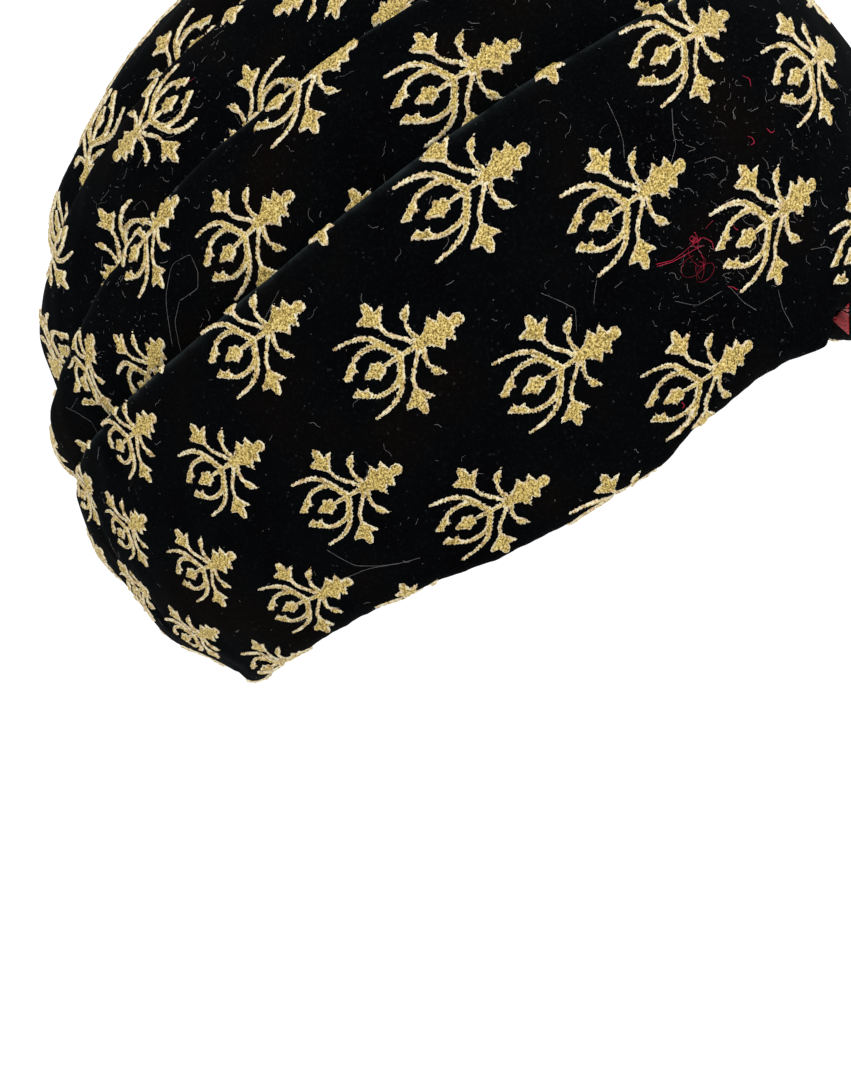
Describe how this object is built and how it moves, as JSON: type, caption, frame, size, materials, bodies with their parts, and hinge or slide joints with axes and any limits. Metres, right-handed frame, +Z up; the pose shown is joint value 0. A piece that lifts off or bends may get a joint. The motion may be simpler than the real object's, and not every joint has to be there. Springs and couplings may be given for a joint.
{
  "type": "turban headwrap",
  "caption": "Ready-wound black velvet turban with gold thread sprigs, side wraps that cross at the forehead, pleats over the crown and a red lining.",
  "frame": {"origin": "middle of the opening, in the plane of the rim, where a head fills it", "axes": "+Z up as worn, -Y the way the face looks, -X the wearer's right side, on which the wrap laps over"},
  "size_m": [0.2276, 0.2658, 0.2459],
  "materials": {
    "velvet": "black cut-pile velvet",
    "lining_cloth": "red plain-woven lining",
    "gold_thread": "raised gold thread embroidery with a pale stitched edge",
    "loose_thread": "lint, loose hairs and loose red threads"
  },
  "bodies": {
    "root": {"lining": "lining_cloth", "right_wrap": "velvet", "left_wrap": "velvet", "lower_pleat": "velvet", "upper_pleat": "velvet", "crown": "velvet"}
  },
  "joints": []
}
